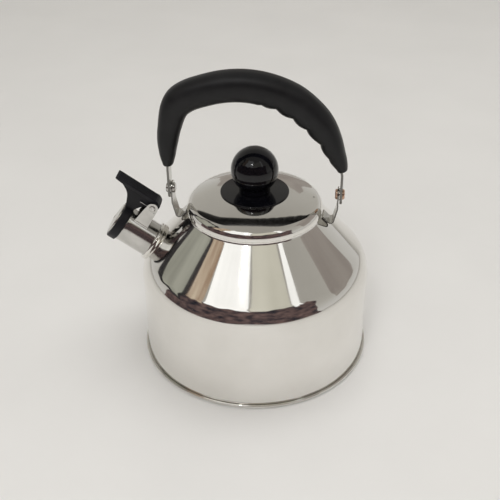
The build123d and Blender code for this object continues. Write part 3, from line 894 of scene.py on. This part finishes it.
# place along the centre line, half thickness in the arch's plane, half depth across it
GRIP_SECTIONS = (
    (0.0, 4.4, 7.2),
    (0.03, 6.4, 8.6),
    (0.09, 8.7, 10.0),
    (0.17, 10.2, 11.0),
    (0.255, 12.4, 12.0),
    (0.4, 12.6, 12.0),
    (0.53, 13.0, 12.0),
    (0.68, 13.6, 12.0),
    (0.8, 12.4, 12.0),
    (0.9, 9.2, 11.0),
    (0.965, 6.6, 9.0),
    (1.0, 4.4, 7.2),
)
NOTCHES = (0.56, 0.633, 0.713, 0.784, 0.869, 0.95)
NOTCH_DEPTH = 2.2
# 2 would make the sections ellipses, and more makes them squarer
SECTION_SQUARENESS = 2.35


def spline_points(points, first_tangent, last_tangent, per_span=40):
    """Smooth curve through points: cubic spans whose tangents follow the neighbours."""
    nodes = [Vector(p) for p in points]
    tangents = [Vector(first_tangent)]
    for before, here, after in zip(nodes, nodes[1:], nodes[2:]):
        back = (here - before).length
        ahead = (after - here).length
        slope = ((here - before) / back * ahead + (after - here) / ahead * back) / (back + ahead)
        tangents.append(slope)
    tangents.append(Vector(last_tangent))
    out = []
    for i in range(len(nodes) - 1):
        span = (nodes[i + 1] - nodes[i]).length
        for k in range(per_span):
            t = k / per_span
            out.append(
                nodes[i] * (2 * t**3 - 3 * t**2 + 1)
                + tangents[i] * span * (t**3 - 2 * t**2 + t)
                + nodes[i + 1] * (3 * t**2 - 2 * t**3)
                + tangents[i + 1] * span * (t**3 - t**2)
            )
    out.append(nodes[-1])
    return out


def evenly(points, count):
    """count + 1 points at equal steps along a polyline, each with its direction."""
    lengths = [0.0]
    for a, b in zip(points, points[1:]):
        lengths.append(lengths[-1] + (b - a).length)
    out = []
    i = 0
    for k in range(count + 1):
        wanted = lengths[-1] * k / count
        while i < len(points) - 2 and lengths[i + 1] < wanted:
            i += 1
        share = (wanted - lengths[i]) / (lengths[i + 1] - lengths[i])
        out.append((points[i].lerp(points[i + 1], share), (points[i + 1] - points[i]).normalized()))
    return out


def section_at(place, column):
    """Value of a section column at a place, between its rows."""
    for before, after in zip(GRIP_SECTIONS, GRIP_SECTIONS[1:]):
        if place <= after[0]:
            share = (place - before[0]) / (after[0] - before[0])
            return before[column] + (after[column] - before[column]) * share
    return GRIP_SECTIONS[-1][column]


def blurred(values, passes=6):
    """Values evened out between their neighbours, the ends kept."""
    for _ in range(passes):
        middle = [(a + 2 * b + c) / 4 for a, b, c in zip(values, values[1:], values[2:])]
        values = [values[0]] + middle + [values[-1]]
    return values


def notch_cut(place):
    """How far the finger bumps fall back from the inner side at a place, in mm."""
    for start, end in zip(NOTCHES, NOTCHES[1:]):
        if start <= place <= end:
            share = (place - start) / (end - start)
            bump = math.sin(math.pi * share) ** 0.8
            if start == NOTCHES[0]:
                bump = max(bump, 1 - share / 0.5) if share < 0.5 else bump
            if end == NOTCHES[-1]:
                bump = max(bump, (share - 0.5) / 0.5) if share > 0.5 else bump
            return NOTCH_DEPTH * (1 - bump)
    return 0.0


def grip_skin():
    """Moulded grip: rounded sections along the arch, with finger notches underneath."""
    rings = 260
    sides = 56
    line = spline_points(GRIP_POINTS, (0, 1), (0.24, -0.97))
    stations = evenly(line, rings)
    halves = blurred([section_at(k / rings, 1) for k in range(rings + 1)])
    depths = blurred([section_at(k / rings, 2) for k in range(rings + 1)])
    bm = bmesh.new()
    rows = []

    def add_ring(centre, flow, half, depth, notch, shift=0.0):
        outward = Vector((-flow.y, flow.x))
        ring = []
        for k in range(sides):
            angle = 2 * math.pi * k / sides
            c = math.cos(angle)
            s = math.sin(angle)
            power = 2 / SECTION_SQUARENESS
            across = math.copysign(abs(c) ** power, c) * depth
            lift = math.copysign(abs(s) ** power, s) * half
            if s < 0:
                lift += notch * (-s) ** 0.7
            point = centre + flow * shift + outward * lift
            ring.append(bm.verts.new((point.x * MM, across * MM, point.y * MM)))
        rows.append(ring)

    cap_steps = 5

    def add_cap_ring(share, side, station, half, depth):
        angle = math.pi / 2 * share
        size = max(0.12, math.cos(angle))
        shift = side * TIP_BULGE * math.sin(angle)
        add_ring(station[0], station[1], half * size, depth * size, 0, shift)

    for k in range(cap_steps):
        add_cap_ring(1 - k / cap_steps, -1, stations[0], halves[0], depths[0])
    for k, (centre, flow) in enumerate(stations):
        add_ring(centre, flow, halves[k], depths[k], notch_cut(k / rings))
    for k in range(1, cap_steps + 1):
        add_cap_ring(k / cap_steps, 1, stations[-1], halves[-1], depths[-1])
    for row, following in zip(rows, rows[1:]):
        for k in range(sides):
            bm.faces.new([row[k], row[(k + 1) % sides], following[(k + 1) % sides], following[k]])
    bm.faces.new(rows[0])
    bm.faces.new(rows[-1])
    return bm


add_piece("grip_skin", grip_skin, MATERIALS["black_grip"], "handle", ["handle_grip"])


# ------------------------------------------------------------------ camera
def add_camera():
    """Camera of the reference view: from above and slightly to the far side of the spout."""
    pitch = math.radians(33.01)
    heading = math.radians(-5.94)
    roll = math.radians(-0.50)
    forward = Vector(
        (math.sin(heading) * math.cos(pitch), math.cos(heading) * math.cos(pitch), -math.sin(pitch))
    )
    right = Vector((math.cos(heading), -math.sin(heading), 0))
    up = right.cross(forward)
    turned_right = right * math.cos(roll) + up * math.sin(roll)
    turned_up = up * math.cos(roll) - right * math.sin(roll)
    data = bpy.data.cameras.new("Camera")
    data.sensor_width = 36.0
    data.lens = 59.86
    camera = bpy.data.objects.new("Camera", data)
    bpy.context.scene.collection.objects.link(camera)
    camera.matrix_world = frame_matrix(
        turned_right, turned_up, -forward, Vector((0.0595, -0.6150, 0.4958))
    )
    bpy.context.scene.camera = camera


add_camera()


# ------------------------------------------------------------------ stage and light
def stage_material(name, colour, roughness, mottle=0.0):
    s = Shader(name)
    shade = s.noise(6.0, 5.0)
    first = tuple(c * (1 - mottle) for c in colour)
    s.link(s.colours(shade, first, colour), s.bsdf.inputs["Base Color"])
    s.link(s.ranged(s.noise(12.0), roughness, roughness + 0.08), s.bsdf.inputs["Roughness"])
    return s.material


def add_floor():
    bm = bmesh.new()
    bmesh.ops.create_grid(bm, x_segments=8, y_segments=8, size=9.0)
    mesh = bpy.data.meshes.new("Floor")
    bm.to_mesh(mesh)
    bm.free()
    floor = bpy.data.objects.new("Floor", mesh)
    bpy.context.scene.collection.objects.link(floor)
    mesh.materials.append(stage_material("Pale floor", (0.80, 0.79, 0.775), 0.55, 0.03))


def add_area(name, place, target, size, power):
    data = bpy.data.lights.new(name, "AREA")
    data.shape = "RECTANGLE"
    data.size, data.size_y = size
    data.energy = power
    lamp = bpy.data.objects.new(name, data)
    bpy.context.scene.collection.objects.link(lamp)
    way = Vector(target) - Vector(place)
    turned = way.to_track_quat("-Z", "Y").to_matrix().to_4x4()
    lamp.matrix_world = Matrix.Translation(place) @ turned
    return lamp


def add_world():
    """Pale room: bright near the horizon, a mid-toned ceiling."""
    world = bpy.data.worlds.new("Studio")
    bpy.context.scene.world = world
    world.use_nodes = True
    tree = world.node_tree
    background = tree.nodes["Background"]
    coords = tree.nodes.new("ShaderNodeTexCoord")
    parts = tree.nodes.new("ShaderNodeSeparateXYZ")
    ramp = tree.nodes.new("ShaderNodeValToRGB")
    tree.links.new(coords.outputs["Generated"], parts.inputs[0])
    tree.links.new(parts.outputs["Z"], ramp.inputs["Fac"])
    tree.links.new(ramp.outputs["Color"], background.inputs["Color"])
    stops = ramp.color_ramp.elements
    stops[0].position = 0.0
    stops[0].color = (0.60, 0.59, 0.57, 1)
    stops[1].position = 1.0
    stops[1].color = (0.34, 0.325, 0.295, 1)
    middle = stops.new(0.35)
    middle.color = (0.44, 0.425, 0.39, 1)
    background.inputs["Strength"].default_value = 1.0


def around(azimuth, elevation, distance):
    """Place at an azimuth from the front (-Y) towards +X and an elevation, in degrees."""
    turn = math.radians(azimuth)
    rise = math.radians(elevation)
    return (
        distance * math.sin(turn) * math.cos(rise),
        -distance * math.cos(turn) * math.cos(rise),
        0.12 + distance * math.sin(rise),
    )


def glowing(name, dark, light, scale=2.5):
    """Self-lit surface of the room, mottled between two colours."""
    s = Shader(name)
    s.set(Roughness=1.0)
    s.link(s.colours(s.noise(scale, 3.0), dark, light, 0.3, 0.7), s.bsdf.inputs["Emission Color"])
    s.set(Emission_Strength=1.0)
    s.set(Base_Color=(0, 0, 0, 1))
    return s.material


def add_patch(name, azimuths, elevations, material, distance=2.0, edge=0.0):
    """Part of a sphere round the kettle, as room that only reflections see.

    Angles are in degrees, azimuth from the front (-Y) towards +X. The edge angle makes
    the outline wander, so that no reflection has a ruled edge.
    """
    bm = bmesh.new()
    steps = 40
    rows = []
    for i in range(steps + 1):
        row = []
        for k in range(steps + 1):
            u = k / steps
            v = i / steps
            wander = edge * (math.sin(7.1 * u + 3.0 * v) + 0.6 * math.sin(17.3 * u + 1.3))
            sway = edge * (math.sin(8.3 * v + 2.0 * u) + 0.6 * math.sin(15.7 * v + 2.1))
            azimuth = azimuths[0] + (azimuths[1] - azimuths[0]) * u + sway * (2 * u - 1)
            elevation = elevations[0] + (elevations[1] - elevations[0]) * v + wander * (2 * v - 1)
            row.append(bm.verts.new(around(azimuth, elevation, distance)))
        rows.append(row)
    for low, high in zip(rows, rows[1:]):
        for k in range(steps):
            bm.faces.new([low[k], low[k + 1], high[k + 1], high[k]])
    mesh = bpy.data.meshes.new(name)
    bm.to_mesh(mesh)
    bm.free()
    patch = bpy.data.objects.new(name, mesh)
    bpy.context.scene.collection.objects.link(patch)
    mesh.materials.append(material)
    patch.visible_camera = False
    patch.visible_shadow = False
    patch.visible_diffuse = False
    return patch


TARGET = (0.0, 0.0, 0.12)
bpy.context.scene.view_settings.view_transform = "Standard"
add_floor()
add_world()
key = add_area("Front softbox", around(-4, 45, 2.3), TARGET, (1.2, 1.2), 20.0)
key.visible_glossy = False
top = add_area("Top softbox", around(150, 76, 2.1), TARGET, (1.6, 1.6), 17.0)
top.visible_glossy = False
add_area("Small lamp", around(-12, 50, 1.8), TARGET, (0.09, 0.07), 1.2)

softbox = glowing("Softbox cloth", (1.02, 1.02, 1.0), (1.2, 1.2, 1.18))
diffuser = glowing("Beige cloth", (0.55, 0.53, 0.45), (0.68, 0.66, 0.57), 1.2)
drape = glowing("Warm drape", (0.30, 0.20, 0.13), (0.62, 0.52, 0.40), 5.0)
shelf = glowing("Low shelves", (0.010, 0.012, 0.020), (0.17, 0.11, 0.10), 3.4)
card = glowing("Brown card", (0.25, 0.22, 0.20), (0.36, 0.33, 0.30), 1.5)
moss = glowing("Grey-green card", (0.26, 0.26, 0.22), (0.42, 0.42, 0.36), 2.0)
black = glowing("Black edge", (0.012, 0.012, 0.014), (0.05, 0.045, 0.045), 3.0)
add_patch("Softbox", (-50, -2), (35, 64), softbox, 1.95, 1.6)
add_patch("Beige cloth", (0, 46), (37, 57), diffuser, 1.9, 1.0)
add_patch("Bright window", (48, 57), (34, 60), softbox, 1.92, 1.2)
add_patch("Warm drape", (-70, -52), (30, 62), drape, 1.98, 1.5)
add_patch("Low shelves", (-86, 66), (-3, 38), shelf, 2.1, 2.2)
add_patch("Brown card", (88, 124), (10, 48), card, 2.0, 1.0)
add_patch("Green card", (-108, -76), (16, 47), moss, 1.9, 1.5)
add_patch("Green card edge", (-114, -71), (12, 52), black, 2.0, 1.5)
add_patch("Back edge", (168, 196), (2, 26), card, 2.0, 1.0)
